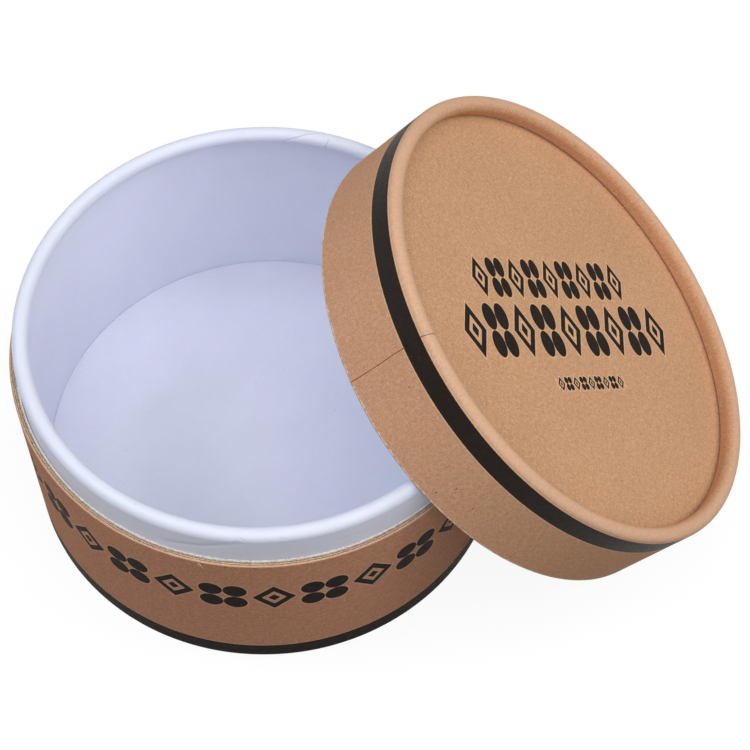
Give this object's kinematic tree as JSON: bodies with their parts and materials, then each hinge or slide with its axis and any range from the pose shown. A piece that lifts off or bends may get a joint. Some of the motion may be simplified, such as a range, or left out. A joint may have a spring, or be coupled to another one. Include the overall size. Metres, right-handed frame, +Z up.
{
  "type": "round paperboard box with lift-off lid",
  "caption": "Round rolled-edge kraft paperboard box with a white-lined neck and a shallow lift-off lid, shown off and leaning on the rim.",
  "frame": {"origin": "centre of the base's underside, on the surface it stands on", "axes": "+Z up along the base's axis; the lid leans towards +X"},
  "size_m": [0.1805, 0.12, 0.0946],
  "materials": {
    "kraft_paper": "uncoated kraft with printed bands",
    "greyboard": "raw wound board",
    "white_paper": "smooth coated white sheet"
  },
  "bodies": {
    "base": {"base_wrap": "kraft_paper", "tube_outer_ply": "greyboard", "tube_inner_ply": "greyboard", "tube_liner": "white_paper", "bottom_facing": "kraft_paper", "bottom_lower_board": "greyboard", "bottom_upper_board": "greyboard", "floor_paper": "white_paper", "neck_outer_ply": "greyboard", "neck_inner_ply": "greyboard", "neck_paper": "white_paper"},
    "lid": {"lid_wrap": "kraft_paper", "lid_tube_board": "greyboard", "lid_lining": "white_paper", "lid_facing": "kraft_paper", "lid_upper_board": "greyboard", "lid_lower_board": "greyboard", "lid_backing": "white_paper"}
  },
  "joints": [
    {"name": "lid_lift", "type": "slide", "parent": "base", "child": "lid", "axis": [0.6428, 0, 0.766], "range_m": [0, 0.1]}
  ]
}
